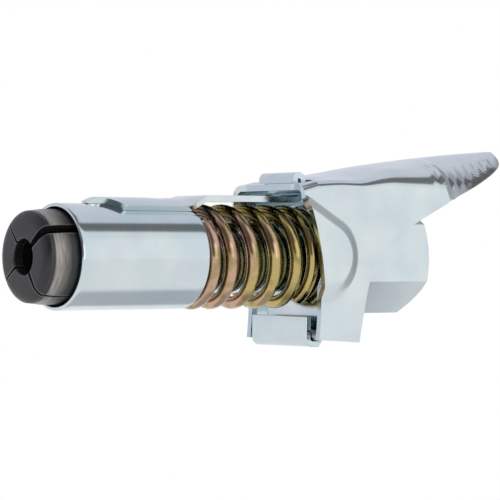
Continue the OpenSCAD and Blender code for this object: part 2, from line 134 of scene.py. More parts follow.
# Bright zinc plate with a clear blue passivation. It gives a satin silver that mirrors softly,
# with pale blue and lavender clouds and a fine frosted grain.
zincFinish = {"pale": "#d0d8da", "blue": "#c1d0d6", "lavender": "#c8cbd4", "cloudMm": 11,
              "cloudRange": (0.35, 0.65), "tintMm": 5, "tintRange": (0.5, 0.75), "tintMost": 0.7,
              "grainMm": 0.25, "grainRange": (0.3, 0.7), "grainDepthMm": 0.004, "grainBump": 0.35,
              "rough": (0.1, 0.18)}


def brightZinc(tree, place, s):
    cloud, tint, grain = [
        addNode(tree, "ShaderNodeTexNoise", {"Vector": place, "Scale": perMm(s[size]), "Detail": detail})
        for size, detail in (("cloudMm", 3.0), ("tintMm", 2.0), ("grainMm", 4.0))]
    cloudShare = addNode(tree, "ShaderNodeMapRange", {
        "Value": cloud, "From Min": s["cloudRange"][0], "From Max": s["cloudRange"][1]})
    tintShare = addNode(tree, "ShaderNodeMapRange", {
        "Value": tint, "From Min": s["tintRange"][0], "From Max": s["tintRange"][1], "To Max": s["tintMost"]})
    clouded = addNode(tree, "ShaderNodeMixRGB", {
        "Fac": cloudShare, "Color1": hexColour(s["pale"]), "Color2": hexColour(s["blue"])})
    tinted = addNode(tree, "ShaderNodeMixRGB", {
        "Fac": tintShare, "Color1": clouded, "Color2": hexColour(s["lavender"])})
    rough = addNode(tree, "ShaderNodeMapRange", {
        "Value": grain, "From Min": s["grainRange"][0], "From Max": s["grainRange"][1],
        "To Min": s["rough"][0], "To Max": s["rough"][1]})
    bump = addNode(tree, "ShaderNodeBump", {
        "Height": grain, "Strength": s["grainBump"], "Distance": s["grainDepthMm"] * mm})
    return addNode(tree, "ShaderNodeBsdfPrincipled", {
        "Base Color": tinted, "Metallic": 1.0, "Roughness": rough, "Normal": bump})


# Black phosphate on hardened steel, oiled. It gives a charcoal half gloss with turning streaks,
# rubbed to bare grey steel along the edges and where the sleeve slides. Toward the sleeve's mouth the bare
# cones fade into painted shade.
phosphateFinish = {"coat": "#303133", "faded": "#48484a", "bare": "#c4bfb6", "patchMm": 2.2,
                   "streakMm": 0.35, "streakStretch": 7, "streakRange": (0.3, 0.7), "edgeMm": 0.4,
                   "edgeRange": (0.98, 0.8), "rubMm": (7.8, 7.83), "rubShare": 1.1,
                   "sleeveShadeMm": (-78.8, -76.6), "rough": (0.3, 0.5), "grainDepthMm": 0.01,
                   "grainBump": 0.4, "metal": 0.65}


def phosphatedSteel(tree, place, s):
    patch = addNode(tree, "ShaderNodeTexNoise", {
        "Vector": place, "Scale": perMm(s["patchMm"]), "Detail": 4.0})
    stretched = addNode(tree, "ShaderNodeMapping", {"Vector": place, "Scale": (s["streakStretch"], 1, 1)})
    streak = addNode(tree, "ShaderNodeTexNoise", {
        "Vector": stretched, "Scale": perMm(s["streakMm"] * s["streakStretch"]), "Detail": 3.0})
    # rubbed edges: where a rounded normal leaves the surface's own
    rounded = addNode(tree, "ShaderNodeBevel", {"Radius": s["edgeMm"] * mm}, {"samples": 6})
    flat = addNode(tree, "ShaderNodeNewGeometry").outputs["Normal"]
    alike = addNode(tree, "ShaderNodeVectorMath", {0: rounded, 1: flat}, dot)
    edge = addNode(tree, "ShaderNodeMapRange", {
        "Value": alike.outputs["Value"], "From Min": s["edgeRange"][0], "From Max": s["edgeRange"][1]})
    rubbedEdge = addNode(tree, "ShaderNodeMath", {0: edge, 1: patch}, times)
    # rubbed cones: where the sleeve's mouth slides over the jaws, in turning streaks, fading into painted
    # shade toward the sleeve
    around = addNode(tree, "ShaderNodeVectorMath", {0: place, 1: (0, 1, 1)}, times)
    radius = addNode(tree, "ShaderNodeVectorMath", {0: around}, {"operation": "LENGTH"})
    cone = addNode(tree, "ShaderNodeMapRange", {
        "Value": radius.outputs["Value"], "From Min": s["rubMm"][0] * mm, "From Max": s["rubMm"][1] * mm,
        "To Max": s["rubShare"]})
    # painted shade: the bare band fades back to the dark coat toward the sleeve's mouth, standing in for the
    # sleeve's shadow on the jaws
    along = addNode(tree, "ShaderNodeSeparateXYZ", {"Vector": place}).outputs["X"]
    clearOfSleeveShade = addNode(tree, "ShaderNodeMapRange", {
        "Value": along, "From Min": s["sleeveShadeMm"][0] * mm, "From Max": s["sleeveShadeMm"][1] * mm,
        "To Min": 1.0, "To Max": 0.0})
    exposed = addNode(tree, "ShaderNodeMath", {0: cone, 1: clearOfSleeveShade}, times)
    shadedRubbedCone = addNode(tree, "ShaderNodeMath", {0: exposed, 1: streak}, times)
    rubbedAndShaded = addNode(tree, "ShaderNodeMath", {0: rubbedEdge, 1: shadedRubbedCone}, larger)
    coat = addNode(tree, "ShaderNodeMixRGB", {
        "Fac": streak, "Color1": hexColour(s["coat"]), "Color2": hexColour(s["faded"])})
    wornAndShaded = addNode(tree, "ShaderNodeMixRGB", {"Fac": rubbedAndShaded, "Color1": coat, "Color2": hexColour(s["bare"])})
    rough = addNode(tree, "ShaderNodeMapRange", {
        "Value": streak, "From Min": s["streakRange"][0], "From Max": s["streakRange"][1],
        "To Min": s["rough"][0], "To Max": s["rough"][1]})
    bump = addNode(tree, "ShaderNodeBump", {
        "Height": streak, "Strength": s["grainBump"], "Distance": s["grainDepthMm"] * mm})
    return addNode(tree, "ShaderNodeBsdfPrincipled", {
        "Base Color": wornAndShaded, "Metallic": s["metal"], "Roughness": rough, "Normal": bump})


# Zinc plate with a yellow chromate over spring wire. It gives gold that drifts to pink and olive
# along the turns, and mirrors almost like polished metal.
chromateFinish = {"gold": "#b9a66c", "pink": "#c19f8a", "olive": "#8f8655", "driftMm": 9, "patchMm": 4,
                  "pinkAtMm": -48, "goldAtMm": -26, "pinkMore": 0.25, "pinkRange": (0.4, 0.65),
                  "oliveRange": (0.48, 0.66), "rough": 0.16, "drawMm": 0.3, "drawDepthMm": 0.004,
                  "drawBump": 0.3}


def yellowChromate(tree, place, s):
    drift, patch, drawn = [
        addNode(tree, "ShaderNodeTexNoise", {"Vector": place, "Scale": perMm(s[size]), "Detail": detail})
        for size, detail in (("driftMm", 1.0), ("patchMm", 2.0), ("drawMm", 3.0))]
    along = addNode(tree, "ShaderNodeSeparateXYZ", {"Vector": place}).outputs["X"]
    fading = addNode(tree, "ShaderNodeMapRange", {
        "Value": along, "From Min": s["pinkAtMm"] * mm, "From Max": s["goldAtMm"] * mm,
        "To Min": s["pinkMore"], "To Max": -s["pinkMore"]})
    pinkness = addNode(tree, "ShaderNodeMath", {0: drift, 1: fading})
    pinkShare = addNode(tree, "ShaderNodeMapRange", {
        "Value": pinkness, "From Min": s["pinkRange"][0], "From Max": s["pinkRange"][1]})
    oliveShare = addNode(tree, "ShaderNodeMapRange", {
        "Value": patch, "From Min": s["oliveRange"][0], "From Max": s["oliveRange"][1]})
    warm = addNode(tree, "ShaderNodeMixRGB", {
        "Fac": pinkShare, "Color1": hexColour(s["gold"]), "Color2": hexColour(s["pink"])})
    mixed = addNode(tree, "ShaderNodeMixRGB", {
        "Fac": oliveShare, "Color1": warm, "Color2": hexColour(s["olive"])})
    bump = addNode(tree, "ShaderNodeBump", {
        "Height": drawn, "Strength": s["drawBump"], "Distance": s["drawDepthMm"] * mm})
    return addNode(tree, "ShaderNodeBsdfPrincipled", {
        "Base Color": mixed, "Metallic": 1.0, "Roughness": s["rough"], "Normal": bump})


# Ground bearing steel, turned brass, copper and moulded nitrile rubber of the parts inside.
# The metals show fine tool marks in their gloss, the rubber a dull matt grain.
insideFinish = {
    "groundSteel": {"low": "#a9abad", "high": "#c3c4c6", "markMm": 0.4, "metal": 1.0, "rough": (0.18, 0.3)},
    "turnedBrass": {"low": "#b08d4a", "high": "#cdae69", "markMm": 0.3, "metal": 1.0, "rough": (0.22, 0.36)},
    "softCopper": {"low": "#a8633f", "high": "#c98760", "markMm": 0.8, "metal": 1.0, "rough": (0.28, 0.45)},
    "nitrileRubber": {"low": "#151515", "high": "#242322", "markMm": 0.5, "metal": 0.0, "rough": (0.5, 0.7)},
}
markRange = (0.3, 0.7)


def insideMaterial(tree, place, s):
    mark = addNode(tree, "ShaderNodeTexNoise", {"Vector": place, "Scale": perMm(s["markMm"]), "Detail": 4.0})
    colour = addNode(tree, "ShaderNodeMixRGB", {
        "Fac": mark, "Color1": hexColour(s["low"]), "Color2": hexColour(s["high"])})
    rough = addNode(tree, "ShaderNodeMapRange", {
        "Value": mark, "From Min": markRange[0], "From Max": markRange[1],
        "To Min": s["rough"][0], "To Max": s["rough"][1]})
    return addNode(tree, "ShaderNodeBsdfPrincipled", {
        "Base Color": colour, "Metallic": s["metal"], "Roughness": rough})


slotMaterial = {
    "bright_zinc": makeMaterial("brightZincPlate", brightZinc, zincFinish),
    "phosphated_steel": makeMaterial("blackPhosphatedSteel", phosphatedSteel, phosphateFinish),
    "yellow_zinc": makeMaterial("yellowChromatedWire", yellowChromate, chromateFinish),
}
insideSlots = {"ground_steel": "groundSteel", "brass": "turnedBrass", "copper": "softCopper",
               "rubber": "nitrileRubber"}
for slotName, finishName in insideSlots.items():
    slotMaterial[slotName] = makeMaterial(finishName, insideMaterial, insideFinish[finishName])
print("materials made:", len(slotMaterial))


# Mesh helpers

def addMesh(name, bm, material):
    mesh = bpy.data.meshes.new(name)
    bm.to_mesh(mesh)
    bm.free()
    mesh.materials.append(material)
    piece = bpy.data.objects.new(name, mesh)
    bpy.context.scene.collection.objects.link(piece)
    return piece


def finishPiece(name, bm, node, slot, sharpAngle=40):
    piece = addMesh(name, bm, slotMaterial[slot])
    piece.data.shade_smooth()
    piece.data.set_sharp_from_angle(angle=math.radians(sharpAngle))
    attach(piece, bodyOfNode[node])
    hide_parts(node)
    return piece


def thickenSheet(piece, thickness, edge, edgeAngle=50):  # a bent sheet gets its gauge and softened edges
    solid = piece.modifiers.new("gauge", "SOLIDIFY")
    solid.thickness = thickness * mm
    solid.offset = -1
    solid.use_even_offset = True
    softenEdges(piece, edge, edgeAngle)


def softenEdges(piece, edge, edgeAngle=50, segments=3):
    soft = piece.modifiers.new("softEdges", "BEVEL")
    soft.width = edge * mm
    soft.segments = segments
    soft.limit_method = "ANGLE"
    soft.angle_limit = math.radians(edgeAngle)
    soft.harden_normals = True


def only(geom, kind):  # the verts or the edges of what an operator returns
    return [item for item in geom if isinstance(item, kind)]


def newEdges(geom, ends):  # the edges of what an operator returns that lie between its new ends
    return [edge for edge in only(geom, bmesh.types.BMEdge) if all(v in ends for v in edge.verts)]


def closeUp(bm, gap=1e-7):  # weld what meets and turn the faces outward
    bmesh.ops.remove_doubles(bm, verts=bm.verts, dist=gap)
    bmesh.ops.recalc_face_normals(bm, faces=bm.faces)


def turnVerts(bm, verts, degrees, axis):
    bmesh.ops.rotate(bm, verts=verts, cent=(0, 0, 0), matrix=Matrix.Rotation(math.radians(degrees), 3, axis))


def sectionLoop(bm, corners):  # a closed section in the XZ plane, from (station, radius, ...) in mm
    verts = [bm.verts.new((corner[0] * mm, 0, corner[1] * mm)) for corner in corners]
    edges = [bm.edges.new(pair) for pair in zip(verts, verts[1:] + verts[:1])]
    return verts + edges


def turnSection(corners, steps=96):  # corners are (station, radius, rounding), in mm
    bm = bmesh.new()
    section = sectionLoop(bm, corners)
    bmesh.ops.spin(bm, geom=section, cent=(0, 0, 0), axis=(1, 0, 0), angle=2 * math.pi,
                   steps=steps, use_merge=True)
    closeUp(bm)
    for station, radius, rounding in corners:
        if rounding > 0:
            roundRing(bm, station, radius, rounding)
    return bm


def roundRing(bm, station, radius, rounding, gap=1e-6):
    def onRing(vert):
        here = math.hypot(vert.co.y, vert.co.z)
        return abs(vert.co.x - station * mm) < gap and abs(here - radius * mm) < gap

    ring = [edge for edge in bm.edges if onRing(edge.verts[0]) and onRing(edge.verts[1])]
    bmesh.ops.bevel(bm, geom=ring, offset=rounding * mm, offset_type="OFFSET", segments=3,
                    profile=0.5, affect="EDGES", material=-1, clamp_overlap=True)


def windCoil(sizes, sides=16, steps=40):  # wire swept round the axis, its end turns drawn together
    wire, turns, endPitch = sizes["wire"], sizes["turns"], sizes["endPitch"]
    pitch = (sizes["length"] - wire - endPitch) / (turns - 1)

    def climb(t):
        if t < 1:
            return endPitch * t + (pitch - endPitch) * t * t / 2
        return (endPitch + pitch) / 2 + pitch * (t - 1)

    def rise(t):
        return sizes["length"] - wire - climb(turns - t) if t > turns - 1 else climb(t)

    bm = bmesh.new()
    bmesh.ops.create_circle(bm, cap_ends=True, radius=wire / 2 * mm, segments=sides)
    place = Vector((sizes["start"] + wire / 2, sizes["meanRadius"], 0)) * mm
    bmesh.ops.translate(bm, verts=bm.verts, vec=place)
    turnVerts(bm, bm.verts, sizes["firstEnd"], "X")
    rings = math.ceil(turns * steps)
    last = list(bm.faces)
    for i in range(rings):
        advance = rise(turns * (i + 1) / rings) - rise(turns * i / rings)
        made = bmesh.ops.spin(bm, geom=last, cent=(0, 0, 0), axis=(1, 0, 0), dvec=(advance * mm, 0, 0),
                              angle=2 * math.pi * turns / rings, steps=1, use_merge=False)
        last = made["geom_last"]
    closeUp(bm, 1e-8)
    return bm


# Sleeve

sleeveLow, sleeveHigh = boxMm("sleeve")
sleeveSizes = {"mouthWall": 0.7, "mouthEdge": 0.2, "frontEdge": 0.35, "backEdge": 0.4, "guideEdge": 0.2,
               "evenFrom": 1, "lead": 0.4, "cone": 5.2, "tailBore": 7.32, "guideBore": 6.46, "guideAt": 14.2}


def makeSleeve():
    s = sleeveSizes
    front, back, radius = sleeveLow.x, sleeveHigh.x, sleeveHigh.z
    mouth = radius - s["mouthWall"]
    coneEnd = front + s["lead"] + s["cone"]
    guide = front + s["guideAt"]
    bm = turnSection([
        (front, mouth, s["mouthEdge"]), (front, radius, s["frontEdge"]),
        # two plain rings keep the tube's shading straight
        (front + s["evenFrom"], radius, 0), (back - s["evenFrom"], radius, 0),
        (back, radius, s["backEdge"]), (back, s["guideBore"], s["guideEdge"]),
        (guide, s["guideBore"], 0), (guide, s["tailBore"], 0),
        (coneEnd, s["tailBore"], 0), (front + s["lead"], mouth, 0),
    ], steps=128)
    finishPiece("sleeveTube", bm, "sleeve", "bright_zinc")


makeSleeve()
print("sleeve made")


# Jaws

jawSizes = {"hole": 3.05, "lead": 0.4, "holeEdge": 0.22, "gripLength": 1.5, "face": 5.9,
            "dome": (0.1, 7.25), "domeSteps": 7, "rim": (1.0, 7.74), "land": 2.6, "landRadius": 8.02,
            "mouthRadius": 8.08, "cone": 5.2, "tail": 7.0, "heelHook": 4.75, "heelLength": 2.2, "room": 5.85,
            "pocket": 3.9, "cavity": 4.9, "cavityFront": 9.1, "cavityBack": 12.35, "slot": 0.6,
            "openSlot": {"near": 0.5}, "slotTurn": 45, "edge": 0.16, "edgeAngle": 18, "spread": 110}


def jawSection(front, heel, mouth):  # over the face and the cone to the heel, and back along the inside
    s = jawSizes
    lead, hook = mouth + s["lead"], heel - s["heelLength"]
    grip = front + s["lead"] + s["gripLength"]
    cavityFront, cavityBack = front + s["cavityFront"], front + s["cavityBack"]
    face, dome, rim = Vector((0, s["face"])), Vector(s["dome"]), Vector(s["rim"])
    domed = [conicPoint(face, dome, rim, 1, i / s["domeSteps"]) for i in range(s["domeSteps"] + 1)]
    return [
        (front, s["hole"] + s["holeEdge"]), *((front + point.x, point.y) for point in domed),
        (mouth - s["land"], s["landRadius"]), (lead, s["mouthRadius"]), (lead + s["cone"], s["tail"]),
        (heel, s["tail"]), (heel, s["heelHook"]), (hook, s["heelHook"]), (hook, s["room"]),
        (cavityBack, s["room"]), (cavityBack, s["cavity"]), (cavityFront, s["cavity"]),
        (cavityFront - s["cavity"] + s["pocket"], s["pocket"]),
        (grip + s["pocket"] - s["hole"], s["pocket"]), (grip, s["hole"]), (front + s["holeEdge"], s["hole"]),
    ]


def makeJaw(side):
    s = jawSizes
    node = "jaw_" + side
    low, high = boxMm(node)
    axis = jointList[node + "_hinge"]["axis"]
    outward = Vector((0, -axis[2], axis[1]))  # from the coupler's axis through the jaw's middle
    bm = bmesh.new()
    section = sectionLoop(bm, jawSection(low.x, high.x, sleeveLow.x))
    middleTurn = math.degrees(math.atan2(-outward.y, outward.z))  # turn about X that brings +Z to outward
    turnVerts(bm, bm.verts, middleTurn - s["spread"] / 2, "X")
    bmesh.ops.spin(bm, geom=section, cent=(0, 0, 0), axis=(1, 0, 0), angle=math.radians(s["spread"]),
                   steps=48, use_merge=False)
    bmesh.ops.remove_doubles(bm, verts=bm.verts, dist=1e-7)
    for turn in (s["slotTurn"], -s["slotTurn"]):  # saw the slots on both sides
        slotLine = Matrix.Rotation(math.radians(turn), 3, "X") @ outward
        across = Matrix.Rotation(math.radians(math.copysign(90, turn)), 3, "X") @ slotLine
        everything = list(bm.verts) + list(bm.edges) + list(bm.faces)
        width = s["slot"] + (s["openSlot"].get(side, 0) if turn > 0 else 0)
        cut = bmesh.ops.bisect_plane(bm, geom=everything, plane_co=across * -width / 2 * mm,
                                     plane_no=across, clear_outer=True)
        bmesh.ops.contextual_create(bm, geom=only(cut["geom_cut"], bmesh.types.BMEdge))
    bmesh.ops.recalc_face_normals(bm, faces=bm.faces)
    piece = finishPiece("jaw" + side.capitalize(), bm, node, "phosphated_steel")
    softenEdges(piece, s["edge"], s["edgeAngle"])


for jawSide in ("bottom", "far", "top", "near"):
    makeJaw(jawSide)
print("jaws made")


# Main spring

springLow, springHigh = boxMm("main_spring")
springWire = 2.3
endPitchShare = 0.7  # of the wire, at the ends of each spring
springSizes = {"wire": springWire, "turns": 5.3, "endPitch": endPitchShare * springWire, "firstEnd": 137,
               "start": springLow.x, "length": springHigh.x - springLow.x,
               "meanRadius": max(springHigh.y, springHigh.z) - springWire / 2}


def makeMainSpring():
    piece = finishPiece("mainSpringCoil", windCoil(springSizes), "main_spring", "yellow_zinc", 60)
    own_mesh(piece)


makeMainSpring()
print("main spring made")


# Pull strap

strapLow, strapHigh = boxMm("pull_strap")
strapSizes = {"sheet": 1.1, "half": 4.9, "tipHalf": 1.3, "tipLength": 2.1, "tipThin": 0.3, "tipBlunt": 0.06,
              "spade": 3.6, "weld": 0.03, "liftBefore": 1.6, "liftAfter": 2.9, "overSpring": 0.35,
              "spread": 3.0, "footBend": 1.2, "bend": 0.5, "lipBend": 0.2, "lipDrop": 0.65, "hookHalf": 5.0,
              "edge": 0.22, "dentAt": 15.0, "dentDepth": 0.12, "dentLength": 1.6, "dentHalf": 2.0,
              "flatEnd": 0.7, "flatPower": 1.25, "footEnd": 0.8, "topEnd": 0.88, "rollEnd": 0.96}


def strapPoint(along, across, raised):
    s = strapSizes
    sleeveRadius = sleeveHigh.z + s["weld"]
    flatHeight = springSizes["meanRadius"] + springWire / 2 + s["overSpring"]
    tip, hookBack, top = strapLow.x, strapHigh.x, strapHigh.z
    foot, outer, lip = s["footBend"] + s["sheet"], s["bend"] + s["sheet"], s["lipBend"] + s["sheet"]
    footAt, bendAt = hookBack - foot, hookBack - outer
    if along <= s["flatEnd"]:  # the saddle and the flat over the spring
        x = between(tip, footAt, math.pow(along / s["flatEnd"], s["flatPower"]))
        nose = (x - tip) / s["tipLength"]
        half = s["tipHalf"] * math.sin(math.acos(max(0.0, 1 - s["tipBlunt"] - nose)))
        half += (s["half"] - s["tipHalf"]) * easeStep((nose - 1) * s["tipLength"] / s["spade"])
        half += (s["hookHalf"] - s["half"]) * easeStep((x - footAt + s["spread"]) / s["spread"])
        lift = easeStep((x - sleeveHigh.x + s["liftBefore"]) / (s["liftBefore"] + s["liftAfter"]))
        radius = sleeveRadius / max(1 - lift, 0.0025)  # nearly flat where it is fully lifted
        angle = across * half / radius
        height = s["sheet"] * min(1, between(s["tipThin"], 1, nose)) * raised
        dentLong, dentWide = (x - tip - s["dentAt"]) / s["dentLength"], across * half / s["dentHalf"]
        height -= s["dentDepth"] * math.exp(-dentLong ** 2 - dentWide ** 2) * raised
        z = between(sleeveRadius, flatHeight, lift) + (radius + height) * math.cos(angle) - radius
        return Vector((x, (radius + height) * math.sin(angle), z)) * mm
    if along <= s["footEnd"]:  # up round the hook's foot
        x, z, bend = footAt, flatHeight + foot, foot
        angle = 90 * (along - s["footEnd"]) / (s["footEnd"] - s["flatEnd"])
    elif along <= s["topEnd"]:  # forward over its top
        x, z, bend = bendAt, top - outer, outer
        angle = 90 * (along - s["footEnd"]) / (s["topEnd"] - s["footEnd"])
    else:  # and down again to a rolled lip
        drop = s["lipDrop"] * max(0, along - s["rollEnd"]) / (1 - s["rollEnd"])
        x, z, bend = bendAt, top - lip - drop, lip
        angle = 90 + 90 * min(1, (along - s["topEnd"]) / (s["rollEnd"] - s["topEnd"]))
    reach, turn = bend - s["sheet"] * raised, math.radians(angle)
    return Vector((x + reach * math.cos(turn), across * s["hookHalf"], z + reach * math.sin(turn))) * mm


def makeStrap():
    bm = bmesh.new()
    bmesh.ops.create_grid(bm, x_segments=200, y_segments=24, size=1)
    along = bm.verts.layers.float.new("along")
    across = bm.verts.layers.float.new("across")
    for vert in bm.verts:
        vert[along], vert[across] = (vert.co.x + 1) / 2, vert.co.y
    grown = bmesh.ops.extrude_face_region(bm, geom=list(bm.faces), use_keep_orig=True)
    upper = set(only(grown["geom"], bmesh.types.BMVert))
    for vert in bm.verts:
        vert.co = strapPoint(vert[along], vert[across], 1 if vert in upper else 0)
    bmesh.ops.recalc_face_normals(bm, faces=bm.faces)
    piece = finishPiece("pullStrap", bm, "pull_strap", "bright_zinc", 50)
    softenEdges(piece, strapSizes["edge"], 50)


makeStrap()
print("pull strap made")


# Lever

leverHigh = boxMm("lever")[1]
pivot = Vector(jointList["lever_pivot"]["pos_m"]) / mm
leverSizes = {"sheet": 1.1, "front": 4.4, "side": 29.3, "tail": 19.3, "crownRise": 7.15, "crownEarly": 0.54,
              "crownLate": 0.83, "climbLength": 6.0, "levelHalf": 5.6, "levelSoft": 4.0,
              "archRate": 0.001976, "archLead": 1.0, "archPower": 1.4, "archRound": 1.9,
              "tailDrop": 1.05, "tailDropIn": 13, "tailDropOut": 1.13, "tailNose": 0.4, "tailPull": 4,
              "bend": 1.4, "bendFront": 2.4, "bendWide": 4.0, "bendFrom": 8.0, "bendLength": 10.0,
              "bulge": 1.2, "bulgeRadius": 6.5, "bulgeSoft": 2.2, "bulgeRound": 0.25, "bulgeLean": 150,
              "toe": 1.2, "heel": 7.9, "drop": 1.35, "toeRise": 0.6,
              "waist": 11.2, "waistHeight": 1.5, "waistPull": 4, "frontWaist": 0.5, "frontWaistHeight": -1.5,
              "stripWidth": 3.2, "windowLength": 2.6, "windowSide": 0.35, "cutMargin": (2, 1),
              "cutAbove": 0.6,
              "ribFirst": 27.0, "ribPitch": 2.5, "ribCount": 8, "ribHeight": 0.25, "ribWidth": 0.55,
              "ribInner": 0.45, "ribInnerSoft": 0.15, "ribOuter": 0.98, "ribOuterSoft": 0.1,
              "roofEnd": 0.34, "foldEnd": 0.44, "edge": 0.2, "columns": 220, "rows": 190}
leverHalf = leverHigh.y - leverSizes["bulge"]
roofHeight = leverHigh.z - leverSizes["crownRise"]


def crownHeight(x, y):  # the roof's crown, level across the strip between its flanks
    s = leverSizes
    t = (x + s["front"]) / (s["front"] + s["side"] + s["tail"])
    k = 1 - t
    climb = easeStep((x + s["front"] - s["stripWidth"] / 2) / s["climbLength"])
    climb = between(climb, 1, easeStep((y - s["levelHalf"]) / s["levelSoft"]))
    rise = 3 * s["crownEarly"] * t * k * k + 3 * s["crownLate"] * t * t * k + t ** 3
    return roofHeight + s["crownRise"] * climb * rise


def foldDrop(y, bend):  # how far a fold of that radius has dropped at a distance from the middle
    reach = min(bend, max(0.0, y - leverHalf + bend))
    return bend - math.sqrt(bend * bend - reach * reach)


def roofFall(x, y):  # how far the roof falls from its crown on the way to its edges
    s = leverSizes
    half = tailHalf(x)
    edge = s["archRate"] * max(0.0, x + s["archLead"]) * leverHalf ** 2 * (half / leverHalf) ** s["archPower"]
    behind = (x - s["side"]) / s["tail"]
    fadeIn, fadeOut = min(1.0, max(0.0, behind * s["tailDropIn"])), max(0.0, 1 - behind * s["tailDropOut"])
    edge += s["tailDrop"] * fadeIn * fadeOut
    tight = between(s["bendFront"], s["bend"], easeStep((x + s["front"]) / s["bendLength"]))
    bend = tight + (s["bendWide"] - s["bend"]) * easeStep((x - s["bendFrom"]) / s["bendLength"])
    edge += foldDrop(half, tight) - foldDrop(half, bend)
    return edge * (y / half) ** s["archRound"] + foldDrop(y, bend)


def tailShare(y):  # how far the tail reaches at a distance from its middle: blunt nose, nearly straight sides
    s = leverSizes
    share = min(1.0, abs(y) / leverHalf)
    turn = s["tailPull"] * (share - s["tailNose"])
    q = (turn + math.sqrt(turn * turn + share * (1 - share))) / max(1 - share, 0.001)
    bow = 1 + 2 * s["tailPull"] * q
    return bow / (bow + q * q)


def tailHalf(x):  # the pad's half width at a station
    s = leverSizes
    reach = min(0.999, max(0.001, (x - s["side"]) / s["tail"]))
    lead = s["tailPull"] * (1 - reach)
    q = (lead + math.sqrt(lead * lead + reach * (1 - reach))) / reach
    bow = 2 * s["tailPull"] * q
    return leverHalf * (bow * s["tailNose"] + q * q) / (1 + bow + q * q)


def ribRise(x, y):  # short cross ribs for the thumb along both flanks of the pad
    s = leverSizes
    nearest = round((x - s["ribFirst"]) / s["ribPitch"])
    if nearest < 0 or nearest >= s["ribCount"]:
        return 0.0
    off = x - s["ribFirst"] - nearest * s["ribPitch"]
    share = y / tailHalf(x)
    ends = easeStep((share - s["ribInner"]) / s["ribInnerSoft"])
    ends *= easeStep((s["ribOuter"] - share) / s["ribOuterSoft"])
    return s["ribHeight"] * math.exp(-(off / s["ribWidth"]) ** 2) * ends


def roofPoint(u, w, side):
    s = leverSizes
    flat = leverHalf - s["bend"]
    turn = math.radians(90 * max(0.0, w - 1))
    y = flat * math.sin(math.radians(90 * w)) if w < 1 else flat + s["bend"] * math.sin(turn)
    x = between(-s["front"], s["side"] + s["tail"] * tailShare(y), u)
    return Vector((x, side * y, crownHeight(x, y) - roofFall(x, y) + ribRise(x, y)))


def legPoint(u, w, side):
    s = leverSizes

    def crease(x):
        return crownHeight(x, leverHalf) - roofFall(x, leverHalf)

    low = pivot.z - s["drop"]
    frontTop = Vector((-s["front"], crease(-s["front"])))
    frontWaist = Vector((s["frontWaist"], s["frontWaistHeight"]))
    frontEdge = conicPoint(frontTop, frontWaist, Vector((-s["toe"], low + s["toeRise"])), 1, w)
    backTop, waist = Vector((s["side"], crease(s["side"]))), Vector((s["waist"], s["waistHeight"]))
    backEdge = conicPoint(backTop, waist, Vector((s["heel"], low)), s["waistPull"], w)
    sag = crease(between(-s["front"], s["side"], u)) - between(frontTop.y, backTop.y, u)
    place = frontEdge.lerp(backEdge, u) + Vector((0, sag * (1 - w) ** 2))
    lean = Vector((math.cos(math.radians(s["bulgeLean"])), math.sin(math.radians(s["bulgeLean"]))))
    distance = (place - lean * max(0.0, place.dot(lean))).length
    ramp = min(1.0, max(0.0, (distance - s["bulgeRadius"]) / s["bulgeSoft"] + 0.5))
    out = s["bulge"] * (1 - between(ramp, easeStep(ramp), s["bulgeRound"]))
    return Vector((place.x, side * (leverHalf + out), place.y))


def leverPoint(u, v):  # v runs from the middle of the roof over the fold and down the leg
    s = leverSizes
    side = -1 if v < 0 else 1
    share = abs(v)
    if share < s["roofEnd"]:
        point = roofPoint(u, share / s["roofEnd"], side)
    elif share < s["foldEnd"]:
        point = roofPoint(u, 1 + (share - s["roofEnd"]) / (s["foldEnd"] - s["roofEnd"]), side)
    else:
        point = legPoint(u, (share - s["foldEnd"]) / (1 - s["foldEnd"]), side)
    return (point + Vector((pivot.x, 0, 0))) * mm


def cutWindow(bm):  # the opening behind the strip, through which the strap's hook comes up
    s = leverSizes
    front = pivot.x - s["front"] + s["stripWidth"]
    back = front + s["windowLength"]
    half = strapHigh.y + s["windowSide"]

    def inRoof(face):
        middle = face.calc_center_median() / mm
        inReach = middle.x < back + s["cutMargin"][0] and abs(middle.y) < half + s["cutMargin"][1]
        return inReach and middle.z > strapHigh.z * s["cutAbove"]

    cuts = (((front, 0, 0), (1, 0, 0)), ((back, 0, 0), (1, 0, 0)),
            ((0, half, 0), (0, 1, 0)), ((0, -half, 0), (0, 1, 0)))
    for place, normal in cuts:
        roof = [face for face in bm.faces if inRoof(face)]
        geom = set(roof) | {e for f in roof for e in f.edges} | {v for f in roof for v in f.verts}
        bmesh.ops.bisect_plane(bm, geom=list(geom), plane_co=Vector(place) * mm, plane_no=normal, dist=1e-6)
    inside = [f for f in bm.faces if abs(f.calc_center_median().y) < half * mm
              and front * mm < f.calc_center_median().x < back * mm]
    bmesh.ops.delete(bm, geom=inside, context="FACES")


def makeLever():
    bm = bmesh.new()
    bmesh.ops.create_grid(bm, x_segments=leverSizes["columns"], y_segments=leverSizes["rows"], size=1)
    for vert in bm.verts:
        vert.co = leverPoint((vert.co.x + 1) / 2, vert.co.y)
    cutWindow(bm)
    bmesh.ops.recalc_face_normals(bm, faces=bm.faces)
    top = max(bm.faces, key=lambda f: f.calc_center_median().z)
    if top.normal.z < 0:
        bmesh.ops.reverse_faces(bm, faces=bm.faces)
    piece = finishPiece("leverSheet", bm, "lever", "bright_zinc", 60)
    thickenSheet(piece, leverSizes["sheet"], leverSizes["edge"])


makeLever()
print("lever made")


# Bracket

bracketLow, bracketHigh = boxMm("lever_bracket")
bracketSizes = {"sheet": 1.1, "bend": 0.4, "bore": 6.46, "neckHalf": 7.5, "neckMargin": 0.2,
                "troughHalf": 8.0, "wall": 5.5, "edge": 0.18, "ringSegments": 144, "bendSteps": 10}


